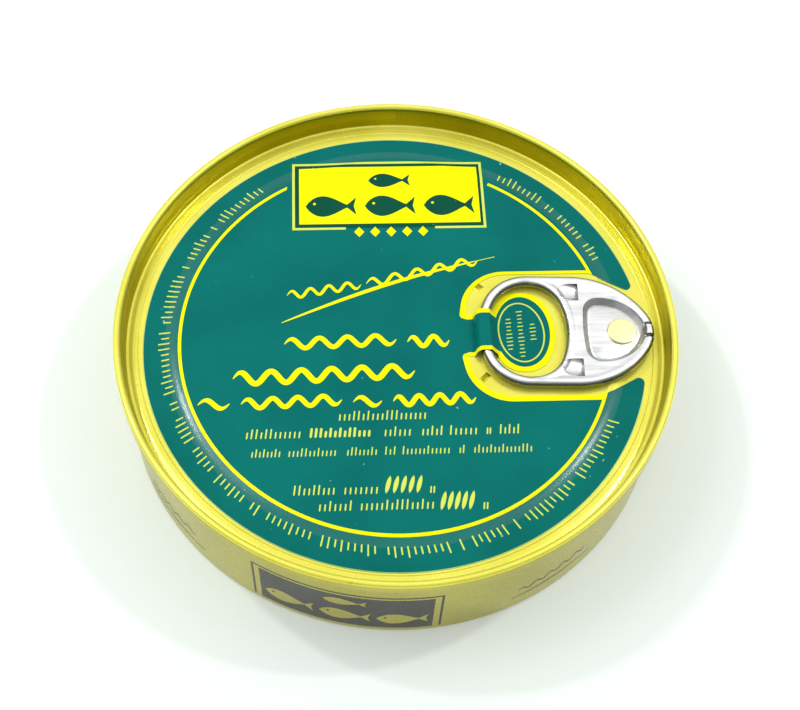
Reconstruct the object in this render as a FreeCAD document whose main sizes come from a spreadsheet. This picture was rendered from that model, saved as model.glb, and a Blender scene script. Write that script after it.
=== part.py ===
"""Round two-piece easy-open sardine tin, shut.

Four pieces: the drawn can body with its contents, the seamed lid with its rivet, the ring-pull
tab, and the printed film label.  Millimetres, +Z up.  The origin is on the ground under the
middle of the tin, and +X runs from the middle through the rivet to the tab's nose.
"""
import FreeCAD, Part
import math
import os

import Sketcher

os.makedirs("parts", exist_ok=True)
doc = FreeCAD.newDocument("SardineTin")

TOUCH = 0.01  # lengths and gaps under this count as nothing when edges are picked

# ---------------------------------------------------------------- driving dimensions
SIZES = {
    # whole tin
    "tin_height": 23.0,
    "seam_radius": 50.0,
    "seam_drop": 3.0,
    "wall_radius": 49.15,
    "base_corner": 1.8,
    "foot_width": 1.0,
    "base_slope": 0.9,
    "base_recess": 0.7,
    # lid
    "rim_inner": 48.75,
    "rim_round": 0.6406,
    "rim_shoulder": 0.5,
    "chuck_foot": 48.3,
    "panel_depth": 4.7,
    "lid_metal": 0.25,
    "groove_outer": 47.9,
    "groove_inner": 47.4,
    "groove_edge": 46.9,
    "groove_drop": 0.35,
    "score_radius": 46.2,
    "score_half": 0.2,
    "score_drop": 0.08,
    "step_outer": 41.6,
    "step_inner": 39.0,
    "centre_rise": 0.45,
    # rivet, on the lid
    "rivet_place": 40.5,
    "boss_radius": 3.4,
    "shank_radius": 1.9,
    "head_radius": 2.7,
    "head_height": 0.5,
    "head_round": 0.25,
    # ring-pull tab
    "tab_gap": 0.2,
    "tab_height": 2.0,
    "tab_tip": 14.4,
    "tab_nose": 46.3,
    "tab_half": 11.5,
    "tip_bend": 15.2,
    "tip_shoulder": 8.7,
    "nose_shoulder": 16.0,
    "nose_bend": 7.0,
    "tab_round": 0.85,
    "ring_width": 1.9,
    "hole_right": 30.5,
    "hole_shoulder": 6.0,
    "hole_bend": 16.0,
    "well_left": 33.4,
    "well_right": 44.9,
    "well_half": 6.7,
    "well_bend": 40.0,
    "well_corner": 2.8,
    "well_shoulder": 8.4,
    "well_nose": 2.8,
    "well_depth": 1.05,
    "dimple_place": 31.2,
    "dimple_side": 7.9,
    "dimple_radius": 1.8,
    "dimple_depth": 0.45,
    "beak_right": 45.9,
    "beak_length": 1.9,
    "beak_half": 0.9,
    "beak_height": 0.2,
    # label film
    "label_radius": 45.1,
    "spare": 3.0,  # how far a blank runs past the line that trims it or joins it
    "film": 0.12,
    "label_left": 0.12,
    "label_front": 0.65,
    "label_twist": 1.8,
    "slot_left": 12.4,
    "slot_half": 12.8,
    "slot_bend": 33.0,
    "slot_shoulder": 7.6,
    "slot_straight": 36.2,
    "notch_start": 41.3,
    "notch_half": 10.0,
    "horn_round": 1.5,
    "island_left": 16.9,
    "island_right": 28.7,
    "island_half": 8.3,
    "island_bend": 12.0,
    "island_shoulder": 4.8,
    "island_back": 0.4,
    "tongue_front": 4.4,
    "tongue_back": 4.1,
    "tongue_foot": 13.85,
    "tongue_crease": 15.2,
    "tongue_crest": 16.7,
    "tongue_land": 18.7,
    "tongue_lift": 2.3,
    "tongue_kick": 0.9,
}

sheet = doc.addObject("Spreadsheet::Sheet", "Sizes")
for row, (alias, number) in enumerate(SIZES.items(), start=1):
    sheet.set(f"A{row}", alias.replace("_", " "))
    sheet.set(f"B{row}", str(number))
    sheet.setAlias(f"B{row}", alias)
doc.recompute()


class Size:
    """A length that carries its number and its formula in the sheet's cells."""

    def __init__(self, number, formula):
        self.number, self.formula = number, formula

    def __add__(self, other):
        other = as_size(other)
        return Size(self.number + other.number, f"({self.formula} + {other.formula})")

    def __sub__(self, other):
        other = as_size(other)
        return Size(self.number - other.number, f"({self.formula} - {other.formula})")

    def __neg__(self):
        return Size(-self.number, f"(-{self.formula})")


def as_size(value):
    """A Size from a Size or a plain number of millimetres."""
    return value if isinstance(value, Size) else Size(float(value), f"{value} mm")


def cell(alias):
    """The Size of one cell of the sheet."""
    return Size(SIZES[alias], f"Sizes.{alias} * 1 mm")


# ---------------------------------------------------------------- sketch helpers
def new_body(label):
    body = doc.addObject("PartDesign::Body", label)
    body.Label = label
    return body


def new_sketch(body, name, plane, lift=None):
    """A sketch on one of the body's own origin planes, raised by lift along the plane's normal."""
    sketch = body.newObject("Sketcher::SketchObject", name)
    support = next(part for part in body.Origin.OriginFeatures if part.Role == plane)
    sketch.AttachmentSupport = [(support, "")]
    sketch.MapMode = "FlatFace"
    if lift is not None:
        sketch.setExpression("AttachmentOffset.Base.z", lift.formula)
    return sketch


def bind(sketch, kind, *where, size):
    """Adds a dimension to the sketch and binds it to the size's formula."""
    index = sketch.addConstraint(Sketcher.Constraint(kind, *where, size.number))
    sketch.setExpression(f"Constraints[{index}]", size.formula)


def pin(sketch, geometry, point, across, up):
    """Holds a point of the sketch at (across, up); a coordinate of None lies on that axis."""
    for kind, axis, size in (("DistanceX", -2, across), ("DistanceY", -1, up)):
        if size is None:
            sketch.addConstraint(Sketcher.Constraint("PointOnObject", geometry, point, axis))
        else:
            bind(sketch, kind, geometry, point, size=size)


def polygon(sketch, corners):
    """A closed outline of straight sides and arcs.

    Each corner is (across, up) or (across, up, radius): with a radius, the side that leaves the
    corner is an arc of that radius, turning clockwise.
    """
    places = []
    for corner in corners:
        across, up = corner[0], corner[1]
        places.append((0.0 if across is None else across.number, 0.0 if up is None else up.number))
    for number, corner in enumerate(corners):
        start = FreeCAD.Vector(*places[number], 0)
        end = FreeCAD.Vector(*places[(number + 1) % len(corners)], 0)
        if len(corner) == 3:
            chord = end - start
            radius = corner[2].number
            side = FreeCAD.Vector(-chord.y, chord.x, 0).normalize()
            rise = radius - math.sqrt(max(radius ** 2 - chord.Length ** 2 / 4, 0))
            middle = (start + end) * 0.5 + side * rise
            sketch.addGeometry(Part.Arc(start, middle, end), False)
        else:
            sketch.addGeometry(Part.LineSegment(start, end), False)
    for number, corner in enumerate(corners):
        # the arc is stored counter-clockwise, so its ends are swapped
        begin = 2 if len(corner) == 3 else 1
        before = (number - 1) % len(corners)
        finish = 1 if len(corners[before]) == 3 else 2
        sketch.addConstraint(Sketcher.Constraint("Coincident", before, finish, number, begin))
        pin(sketch, number, begin, corner[0], corner[1])
        if len(corner) == 3:
            bind(sketch, "Radius", number, size=corner[2])


def end_arcs(edge, half, bend, shoulder, side):
    """Centres and angles of the bend and shoulder arcs at one end of an egg; side is -1 or 1."""
    drop = half - shoulder
    bend_x = edge - side * bend
    apart = math.copysign(math.sqrt((bend - shoulder) ** 2 - drop ** 2), bend - shoulder)
    angle = math.atan2(abs(drop), abs(apart))
    return bend_x, bend_x + side * apart, drop, angle


def arc(centre_x, centre_y, radius, first, last):
    circle = Part.Circle(FreeCAD.Vector(centre_x, centre_y, 0), FreeCAD.Vector(0, 0, 1), radius)
    return Part.ArcOfCircle(circle, first, last)


def egg(sketch, left, right, half, left_bend, left_shoulder, right_shoulder, right_bend):
    """A smooth oval, even about the X axis: two end bends, four shoulders, two straight sides."""
    lb_x, ls_x, ls_y, l_turn = end_arcs(left.number, half.number, left_bend.number,
                                        left_shoulder.number, -1)
    rb_x, rs_x, rs_y, r_turn = end_arcs(right.number, half.number, right_bend.number,
                                        right_shoulder.number, 1)
    up, quarter = half.number, math.pi / 2
    corner_l, corner_r = left_shoulder.number, right_shoulder.number
    sketch.addGeometry([
        arc(rb_x, 0, right_bend.number, -r_turn, r_turn),
        arc(rs_x, rs_y, corner_r, r_turn, quarter),
        Part.LineSegment(FreeCAD.Vector(rs_x, up, 0), FreeCAD.Vector(ls_x, up, 0)),
        arc(ls_x, ls_y, corner_l, quarter, math.pi - l_turn),
        arc(lb_x, 0, left_bend.number, math.pi - l_turn, math.pi + l_turn),
        arc(ls_x, -ls_y, corner_l, math.pi + l_turn, math.pi + quarter),
        Part.LineSegment(FreeCAD.Vector(ls_x, -up, 0), FreeCAD.Vector(rs_x, -up, 0)),
        arc(rs_x, -rs_y, corner_r, -quarter, -r_turn),
    ], False)
    for number in range(8):
        after = (number + 1) % 8
        sketch.addConstraint(Sketcher.Constraint("Tangent", number, 2, after, 1))
    for number, centre in ((0, right - right_bend), (4, left + left_bend)):
        bind(sketch, "DistanceX", number, 3, size=centre)
        sketch.addConstraint(Sketcher.Constraint("PointOnObject", number, 3, -1))
    for number, radius in ((0, right_bend), (1, right_shoulder), (3, left_shoulder),
                           (4, left_bend), (5, left_shoulder), (7, right_shoulder)):
        bind(sketch, "Radius", number, size=radius)
    bind(sketch, "DistanceY", 2, 1, size=half)
    sketch.addConstraint(Sketcher.Constraint("Horizontal", 2))
    bind(sketch, "DistanceY", 6, 1, size=-half)
    sketch.addConstraint(Sketcher.Constraint("Horizontal", 6))


def circle(sketch, across, radius):
    """A circle centred on the sketch's X axis."""
    number = sketch.addGeometry(
        Part.Circle(FreeCAD.Vector(across.number, 0, 0), FreeCAD.Vector(0, 0, 1), radius.number), False)
    pin(sketch, number, 3, across, None)
    bind(sketch, "Radius", number, size=radius)


def revolve(body, name, sketch):
    feature = body.newObject("PartDesign::Revolution", name)
    feature.Profile = sketch
    feature.ReferenceAxis = (sketch, ["V_Axis"])
    feature.Angle = 360
    doc.recompute()
    return feature


def pad(body, name, sketch, height):
    feature = body.newObject("PartDesign::Pad", name)
    feature.Profile = sketch
    feature.setExpression("Length", height.formula)
    doc.recompute()
    return feature


def pocket(body, name, sketch, depth=None):
    """A pocket into the solid under the sketch; without a depth it goes right through."""
    before = body.Shape.Volume
    feature = body.newObject("PartDesign::Pocket", name)
    feature.Profile = sketch
    if depth is None:
        feature.Type = "ThroughAll"
    else:
        feature.setExpression("Length", depth.formula)
    doc.recompute()
    if feature.Shape.Volume >= before:
        raise RuntimeError(f"{name} cuts nothing")
    return feature


def fillet(body, name, base, radius, choose):
    """Rounds the edges of the base feature that choose(edge) picks."""
    names = [f"Edge{n}" for n, edge in enumerate(base.Shape.Edges, start=1) if choose(edge)]
    feature = body.newObject("PartDesign::Fillet", name)
    feature.Base = (base, names)
    feature.setExpression("Radius", radius.formula)
    doc.recompute()
    return feature


# ---------------------------------------------------------------- levels and shared outlines
rim_top = cell("tin_height")
panel = rim_top - cell("panel_depth")
centre = panel + cell("centre_rise")
shoulder = rim_top - cell("rim_shoulder")
seam_bottom = rim_top - cell("seam_drop")
tab_bottom = centre + cell("tab_gap")
tab_top = tab_bottom + cell("tab_height")
well_floor = tab_top - cell("well_depth")
metal = cell("lid_metal")

# the lid's underside, from the middle out and up into the seam, where the can's wall ends
UNDERSIDE = [
    (None, centre - metal),
    (cell("step_inner"), centre - metal),
    (cell("step_outer"), panel - metal),
    (cell("groove_edge") - metal, panel - metal),
    (cell("groove_inner") - metal, panel - cell("groove_drop") - metal),
    (cell("groove_outer") + metal, panel - cell("groove_drop") - metal),
    (cell("chuck_foot") + metal, panel - metal),
    (cell("rim_inner") + metal, shoulder - metal),
    (cell("wall_radius"), shoulder - metal),
]


# ---------------------------------------------------------------- can body, with its contents
def can_body():
    """Drawn cup filled to the lid: straight wall, rounded foot, shallow recess underneath."""
    body = new_body("can_body")
    sketch = new_sketch(body, "CanSection", "XZ_Plane")
    foot = cell("wall_radius") - cell("base_corner")
    polygon(sketch, UNDERSIDE + [
        (cell("wall_radius"), cell("base_corner"), cell("base_corner")),
        (foot, None),
        (foot - cell("foot_width"), None),
        (foot - cell("foot_width") - cell("base_slope"), cell("base_recess")),
        (None, cell("base_recess")),
    ])
    revolve(body, "CanTurned", sketch)
    return body


# ---------------------------------------------------------------- lid, seam and rivet
def lid():
    """Easy-open end: rolled seam, chuck wall, groove, score line, raised centre and rivet."""
    body = new_body("lid")
    sketch = new_sketch(body, "LidSection", "XZ_Plane")
    score, half = cell("score_radius"), cell("score_half")
    polygon(sketch, UNDERSIDE + [
        (cell("wall_radius"), seam_bottom),
        (cell("seam_radius") - metal, seam_bottom),
        (cell("seam_radius"), seam_bottom + metal),
        (cell("seam_radius"), shoulder),
        (cell("rim_inner"), shoulder),
        (cell("chuck_foot"), panel),
        (cell("groove_outer"), panel - cell("groove_drop")),
        (cell("groove_inner"), panel - cell("groove_drop")),
        (cell("groove_edge"), panel),
        (score + half, panel),
        (score, panel - cell("score_drop")),
        (score - half, panel),
        (cell("step_outer"), panel),
        (cell("step_inner"), centre),
        (None, centre),
    ])
    revolve(body, "LidTurned", sketch)

    crown = new_sketch(body, "RimSection", "XZ_Plane")
    polygon(crown, [
        (cell("rim_inner"), shoulder, cell("rim_round")),
        (cell("seam_radius"), shoulder),
    ])
    revolve(body, "RimTurned", crown)

    place = cell("rivet_place")
    boss = new_sketch(body, "BossCircle", "XY_Plane", panel - metal)
    circle(boss, place, cell("boss_radius"))
    pad(body, "RivetBoss", boss, tab_bottom - panel + metal)
    shank = new_sketch(body, "ShankCircle", "XY_Plane", tab_bottom)
    circle(shank, place, cell("shank_radius"))
    pad(body, "RivetShank", shank, well_floor - tab_bottom)
    head = new_sketch(body, "HeadCircle", "XY_Plane", well_floor)
    circle(head, place, cell("head_radius"))
    button = pad(body, "RivetHead", head, cell("head_height"))
    head_top = (well_floor + cell("head_height")).number
    fillet(body, "RivetRound", button, cell("head_round"),
           lambda edge: edge.BoundBox.ZLength < TOUCH > abs(edge.BoundBox.ZMin - head_top))
    return body


# ---------------------------------------------------------------- ring-pull tab
def pull_tab():
    """Ring, flat bar with two dimples, and the well that the rivet holds down."""
    body = new_body("pull_tab")
    outline = new_sketch(body, "TabOutline", "XY_Plane", tab_bottom)
    egg(outline, cell("tab_tip"), cell("tab_nose"), cell("tab_half"), cell("tip_bend"),
        cell("tip_shoulder"), cell("nose_shoulder"), cell("nose_bend"))
    pad(body, "TabPlate", outline, cell("tab_height"))

    width = cell("ring_width")
    hole = new_sketch(body, "RingHole", "XY_Plane", tab_top)
    egg(hole, cell("tab_tip") + width, cell("hole_right"), cell("tab_half") - width,
        cell("tip_bend") - width, cell("tip_shoulder") - width, cell("hole_shoulder"),
        cell("hole_bend"))
    ring = pocket(body, "RingOpening", hole)
    fillet(body, "RolledEdges", ring, cell("tab_round"),
           lambda edge: edge.BoundBox.ZLength < TOUCH)

    well = new_sketch(body, "WellOutline", "XY_Plane", tab_top)
    egg(well, cell("well_left"), cell("well_right"), cell("well_half"), cell("well_bend"),
        cell("well_corner"), cell("well_shoulder"), cell("well_nose"))
    pocket(body, "Well", well, cell("well_depth"))
    shank = new_sketch(body, "RivetHole", "XY_Plane", tab_top)
    circle(shank, cell("rivet_place"), cell("shank_radius"))
    pocket(body, "RivetOpening", shank)

    dimple = new_sketch(body, "DimpleCircles", "XY_Plane", tab_top)
    for side in (cell("dimple_side"), -cell("dimple_side")):
        number = dimple.addGeometry(Part.Circle(
            FreeCAD.Vector(SIZES["dimple_place"], side.number, 0), FreeCAD.Vector(0, 0, 1),
            SIZES["dimple_radius"]), False)
        pin(dimple, number, 3, cell("dimple_place"), side)
        bind(dimple, "Radius", number, size=cell("dimple_radius"))
    pocket(body, "Dimples", dimple, cell("dimple_depth"))

    beak = new_sketch(body, "BeakOutline", "XY_Plane", well_floor)
    tip = cell("beak_right")
    polygon(beak, [
        (tip - cell("beak_length"), cell("beak_half")),
        (tip, cell("beak_half")),
        (tip, -cell("beak_half")),
        (tip - cell("beak_length"), -cell("beak_half")),
    ])
    pad(body, "Beak", beak, cell("well_depth") + cell("beak_height"))
    return body


# ---------------------------------------------------------------- printed film label
def stick_on(sketch, height, back=None):
    """Puts a sketch in the label's own frame: off the lid's middle and turned, as stuck on."""
    turn = FreeCAD.Rotation(FreeCAD.Vector(0, 0, 1), SIZES["label_twist"])
    sketch.AttachmentOffset = FreeCAD.Placement(FreeCAD.Vector(), turn)
    front = -cell("label_front")
    sketch.setExpression("AttachmentOffset.Base.x", (-cell("label_left")).formula)
    sketch.setExpression("AttachmentOffset.Base.y", (front + back if back else front).formula)
    sketch.setExpression("AttachmentOffset.Base.z", height.formula)


def slot_outline(sketch, outside):
    """The opening round the tab: a rounded left end, straight sides and a notch at the nose."""
    left, half = cell("slot_left"), cell("slot_half")
    bend, corner = cell("slot_bend"), cell("slot_shoulder")
    bend_x, corner_x, drop, turn = end_arcs(left.number, half.number, bend.number,
                                            corner.number, -1)
    up, quarter = half.number, math.pi / 2
    straight, notch = cell("slot_straight"), cell("notch_start")
    notch_half = cell("notch_half")
    side = [(corner_x, up), (straight.number, up), (notch.number, notch_half.number),
            (outside.number, notch_half.number)]
    upper = [FreeCAD.Vector(x, y, 0) for x, y in side]
    lower = [FreeCAD.Vector(x, -y, 0) for x, y in side]
    sketch.addGeometry([
        arc(corner_x, drop, corner.number, quarter, math.pi - turn),
        arc(bend_x, 0, bend.number, math.pi - turn, math.pi + turn),
        arc(corner_x, -drop, corner.number, math.pi + turn, math.pi + quarter),
    ], False)
    path = lower + upper[::-1]
    for start, end in zip(path, path[1:]):
        sketch.addGeometry(Part.LineSegment(start, end), False)
    for first, second in ((0, 1), (1, 2), (2, 3), (9, 0)):
        sketch.addConstraint(Sketcher.Constraint("Tangent", first, 2, second, 1))
    for number in range(3, 9):
        sketch.addConstraint(Sketcher.Constraint("Coincident", number, 2, number + 1, 1))
    bind(sketch, "DistanceX", 1, 3, size=left + bend)
    sketch.addConstraint(Sketcher.Constraint("PointOnObject", 1, 3, -1))
    bind(sketch, "Radius", 0, size=corner)
    bind(sketch, "Radius", 1, size=bend)
    bind(sketch, "Radius", 2, size=corner)
    pin(sketch, 3, 2, straight, -half)
    pin(sketch, 4, 2, notch, -notch_half)
    pin(sketch, 5, 2, outside, -notch_half)
    pin(sketch, 6, 2, outside, notch_half)
    pin(sketch, 7, 2, notch, notch_half)
    pin(sketch, 8, 2, straight, half)
    sketch.addConstraint(Sketcher.Constraint("Horizontal", 3))
    sketch.addConstraint(Sketcher.Constraint("Horizontal", 9))


def is_horn(edge):
    """True for the short upright edges beside the notch, out past the raised centre."""
    box = edge.BoundBox
    upright = max(box.XLength, box.YLength) < TOUCH
    return upright and box.XMin > 0 and math.hypot(box.XMin, box.YMin) > SIZES["step_outer"]


def label():
    """Round film on the lid, slotted round the ring; its tongue passes over the ring's tip."""
    body = new_body("label")
    film = cell("film")
    edge = cell("label_radius") + cell("spare")
    section = new_sketch(body, "FilmSection", "XZ_Plane")
    polygon(section, [
        (None, centre), (None, centre + film),
        (cell("step_inner"), centre + film),
        (cell("step_outer"), panel + film),
        (edge, panel + film), (edge, panel),
        (cell("step_outer"), panel), (cell("step_inner"), centre),
    ])
    revolve(body, "FilmTurned", section)

    trim = new_sketch(body, "LabelEdge", "XY_Plane")
    circle(trim, as_size(0.0), cell("label_radius"))
    circle(trim, as_size(0.0), edge + cell("spare"))
    stick_on(trim, tab_top)
    pocket(body, "LabelTrim", trim)

    slot = new_sketch(body, "SlotOutline", "XY_Plane")
    slot_outline(slot, edge)
    stick_on(slot, tab_top)
    slotted = pocket(body, "RingSlot", slot)
    fillet(body, "Horns", slotted, cell("horn_round"), is_horn)

    island = new_sketch(body, "IslandOutline", "XY_Plane")
    egg(island, cell("island_left"), cell("island_right"), cell("island_half"),
        cell("island_bend"), cell("island_shoulder"), cell("island_shoulder"),
        cell("island_bend"))
    stick_on(island, centre, cell("island_back"))
    pad(body, "Island", island, film)

    tongue = new_sketch(body, "TongueSection", "XZ_Plane")
    top = centre + cell("tongue_lift")
    kick = centre + cell("tongue_kick")
    polygon(tongue, [
        (cell("slot_left") - cell("spare"), centre),
        (cell("slot_left") - cell("spare"), centre + film),
        (cell("tongue_foot"), centre + film),
        (cell("tongue_foot") + film, kick + film),
        (cell("tongue_crease"), top + film),
        (cell("tongue_crest"), top + film),
        (cell("tongue_land"), centre + film),
        (cell("island_right") - cell("spare"), centre + film),
        (cell("island_right") - cell("spare"), centre),
        (cell("tongue_land") - film, centre),
        (cell("tongue_crest") - film, top),
        (cell("tongue_crease") + film, top),
        (cell("tongue_foot") + film + film, kick),
        (cell("tongue_foot") + film, centre),
    ])
    strip = body.newObject("PartDesign::Pad", "Tongue")
    strip.Profile = tongue
    strip.SideType = "Two sides"
    strip.setExpression("Length", (cell("tongue_front") + cell("label_front")).formula)
    strip.setExpression("Length2", (cell("tongue_back") - cell("label_front")).formula)
    doc.recompute()
    return body


# ---------------------------------------------------------------- check and write
NODES = [can_body(), lid(), pull_tab(), label()]
doc.recompute()
for thing in doc.Objects:
    if {"Invalid", "Error"} & set(thing.State):
        raise RuntimeError(f"{thing.Label} failed: {thing.State}")
for node in NODES:
    shape = node.Shape
    if shape.isNull() or not shape.isValid() or len(shape.Solids) != 1:
        raise RuntimeError(f"{node.Label} isn't one valid solid")
    shape.exportStep(f"parts/{node.Label}.step")
    box = shape.BoundBox
    print(f"{node.Label}: {shape.Volume / 1000:.2f} cm3, x {box.XMin:.2f} to {box.XMax:.2f}, "
          f"y {box.YMin:.2f} to {box.YMax:.2f}, z {box.ZMin:.2f} to {box.ZMax:.2f}")
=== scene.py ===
import math
from itertools import cycle

import bpy
import numpy as np
from mathutils import Matrix, Vector
from mathutils.geometry import delaunay_2d_cdt


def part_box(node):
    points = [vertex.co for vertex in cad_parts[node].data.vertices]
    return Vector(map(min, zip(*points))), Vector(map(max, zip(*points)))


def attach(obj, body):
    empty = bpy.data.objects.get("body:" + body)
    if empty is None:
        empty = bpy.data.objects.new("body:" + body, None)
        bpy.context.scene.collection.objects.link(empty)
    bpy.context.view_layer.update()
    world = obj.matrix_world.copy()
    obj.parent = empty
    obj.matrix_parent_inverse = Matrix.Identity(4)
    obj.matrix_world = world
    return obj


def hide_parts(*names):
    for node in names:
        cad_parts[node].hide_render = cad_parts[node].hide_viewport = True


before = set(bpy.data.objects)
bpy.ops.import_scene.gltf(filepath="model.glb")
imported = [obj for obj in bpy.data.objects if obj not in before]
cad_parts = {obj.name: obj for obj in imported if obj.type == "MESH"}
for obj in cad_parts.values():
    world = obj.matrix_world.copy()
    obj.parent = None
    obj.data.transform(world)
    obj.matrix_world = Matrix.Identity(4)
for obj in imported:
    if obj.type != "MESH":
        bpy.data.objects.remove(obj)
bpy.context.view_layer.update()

MM = 0.001
QUARTER = math.pi / 2
rng = np.random.default_rng(7)


# ---------------------------------------------------------------- sizes, led by the CAD nodes
def corner(node, end, axis):
    """One coordinate of a CAD node's box, in millimetres."""
    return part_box(node)[end][axis] / MM


RIM_TOP = corner("lid", 1, 2)
SEAM_RADIUS = corner("lid", 1, 0)
WALL_RADIUS = corner("can_body", 1, 0)
TAB_TIP = corner("pull_tab", 0, 0)
TAB_NOSE = corner("pull_tab", 1, 0)
TAB_HALF = corner("pull_tab", 1, 1)
TAB_BOTTOM = corner("pull_tab", 0, 2)

SEAM_DROP = 3.0
SEAM_BOTTOM = RIM_TOP - SEAM_DROP
SHOULDER = RIM_TOP - 0.5
PANEL = RIM_TOP - 4.7
CENTRE_RISE = 0.45
CENTRE = PANEL + CENTRE_RISE
STEP_INNER, STEP_OUTER = 39.0, 41.6
TAB_HEIGHT = 2.0
TAB_TOP = TAB_BOTTOM + TAB_HEIGHT
WELL_DEPTH = 1.05
WELL_FLOOR = TAB_TOP - WELL_DEPTH
RIVET_PLACE, RIVET_RADIUS, RIVET_HEIGHT, RIVET_COLUMNS = 40.5, 2.7, 0.5, 96

LABEL_RADIUS = 45.1
LABEL_PLACE = (-0.12, -0.65)
LABEL_TWIST = math.radians(1.8)
FILM_TOP, FILM_BOTTOM = 0.11, 0.01


# ---------------------------------------------------------------- outlines in the plane
ARC_STEP = 0.2
MOST_CUT = 0.499


def rounded(corners, closed=True):
    """Points along an outline whose corners are (x, y) or (x, y, radius)."""
    points = []
    for number, place in enumerate(corners):
        here = Vector(place[:2])
        radius = place[2] if len(place) == 3 else 0
        at_end = not closed and number in (0, len(corners) - 1)
        if radius == 0 or at_end:
            points.append(tuple(here))
            continue
        before = Vector(corners[number - 1][:2]) - here
        after = Vector(corners[(number + 1) % len(corners)][:2]) - here
        half_angle = before.angle(after) / 2
        cut = min(radius / math.tan(half_angle), MOST_CUT * min(before.length, after.length))
        radius = cut * math.tan(half_angle)
        before.normalize()
        after.normalize()
        centre = here + (before + after).normalized() * radius / math.sin(half_angle)
        first = here + before * cut - centre
        last = here + after * cut - centre
        sweep = first.angle_signed(last) * -1
        count = max(2, math.ceil(abs(sweep) / ARC_STEP))
        start = math.atan2(first.y, first.x)
        for k in range(count + 1):
            angle = start + sweep * k / count
            points.append((centre.x + radius * math.cos(angle),
                           centre.y + radius * math.sin(angle)))
    return points


def arc_points(x, y, radius, first, last, step):
    """Points along an arc, ends included, no further apart than step."""
    count = max(2, math.ceil(abs(last - first) * radius / step))
    angles = np.linspace(first, last, count + 1)
    return [(x + radius * math.cos(a), y + radius * math.sin(a)) for a in angles]


def egg(left, right, half, left_bend, left_shoulder, right_shoulder, right_bend, grow=0.0,
        step=0.4):
    """A smooth oval, even about the X axis, offset outwards by grow: end bends and shoulders."""
    def end(edge, bend, shoulder, side):
        drop = half - shoulder
        apart = math.copysign(math.sqrt((bend - shoulder) ** 2 - drop ** 2), bend - shoulder)
        turn = math.atan2(abs(drop), abs(apart))
        return edge - side * bend, edge - side * bend + side * apart, drop, turn

    left_x, left_sx, left_sy, left_turn = end(left, left_bend, left_shoulder, -1)
    right_x, right_sx, right_sy, right_turn = end(right, right_bend, right_shoulder, 1)
    upper = (arc_points(right_sx, right_sy, right_shoulder + grow, right_turn, QUARTER, step)
             + arc_points(left_sx, left_sy, left_shoulder + grow, QUARTER,
                          math.pi - left_turn, step))
    lower = [(x, -y) for x, y in reversed(upper)]
    ends = (arc_points(left_x, 0, left_bend + grow, math.pi - left_turn,
                       math.pi + left_turn, step)[1:-1],
            arc_points(right_x, 0, right_bend + grow, -right_turn, right_turn, step)[1:-1])
    return upper + ends[0] + lower + ends[1]


def circle(radius, count, x=0.0, y=0.0):
    return ellipse(radius, radius, count, x, y)


def ellipse(radius_x, radius_y, count, x=0.0, y=0.0):
    turns = np.linspace(0, 2 * math.pi, count, endpoint=False)
    return [(x + radius_x * math.cos(a), y + radius_y * math.sin(a)) for a in turns]


def rectangle(x0, y0, x1, y1):
    return [(x0, y0), (x1, y0), (x1, y1), (x0, y1)]


def moved(loop, x, y):
    return [(px + x, py + y) for px, py in loop]


def turned(points, place, twist):
    """Points turned about the origin, which then moves to the place."""
    cos, sin = math.cos(twist), math.sin(twist)
    return [(place[0] + cos * x - sin * y, place[1] + sin * x + cos * y) for x, y in points]


def inside(loop, x, y):
    """Whether the loop winds round each point (x, y)."""
    loop = np.asarray(loop)
    turns = np.zeros(x.shape, int)
    for (x1, y1), (x2, y2) in zip(loop, np.roll(loop, -1, axis=0)):
        if y1 == y2:
            continue
        left = x < (x2 - x1) * (y - y1) / (y2 - y1) + x1
        turns[left & (y1 <= y) & (y < y2)] += 1
        turns[left & (y2 <= y) & (y < y1)] -= 1
    return turns != 0


def distance(loop, x, y):
    """Distance from each point to the loop's outline."""
    loop = np.asarray(loop)
    nearest = np.full(x.shape, np.inf)
    for (x1, y1), (x2, y2) in zip(loop, np.roll(loop, -1, axis=0)):
        run, rise = x2 - x1, y2 - y1
        along = np.clip(((x - x1) * run + (y - y1) * rise) / max(run ** 2 + rise ** 2, 1e-12), 0, 1)
        nearest = np.minimum(nearest, np.hypot(x - x1 - along * run, y - y1 - along * rise))
    return nearest


def smooth(t):
    """An even ramp from 0 to 1 while t goes from 0 to 1."""
    t = np.clip(t, 0, 1)
    return t * t * (3 - 2 * t)


# ---------------------------------------------------------------- mesh helpers
def new_piece(name, points, faces, stands_for=(), materials=(), zones=None, sharp=35):
    """A mesh piece from points in millimetres, riding on the tin."""
    mesh = bpy.data.meshes.new(name)
    mesh.from_pydata([tuple(c * MM for c in p) for p in points], [], faces)
    for material in materials:
        mesh.materials.append(material)
    if zones is not None:
        mesh.polygons.foreach_set("material_index", np.asarray(zones, np.int32))
    mesh.polygons.foreach_set("use_smooth", np.ones(len(mesh.polygons), bool))
    mesh.set_sharp_from_angle(angle=math.radians(sharp))
    mesh.validate()
    piece = bpy.data.objects.new(name, mesh)
    bpy.context.scene.collection.objects.link(piece)
    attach(piece, "root")
    if stands_for:
        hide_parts(*stands_for)
    return piece


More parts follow.
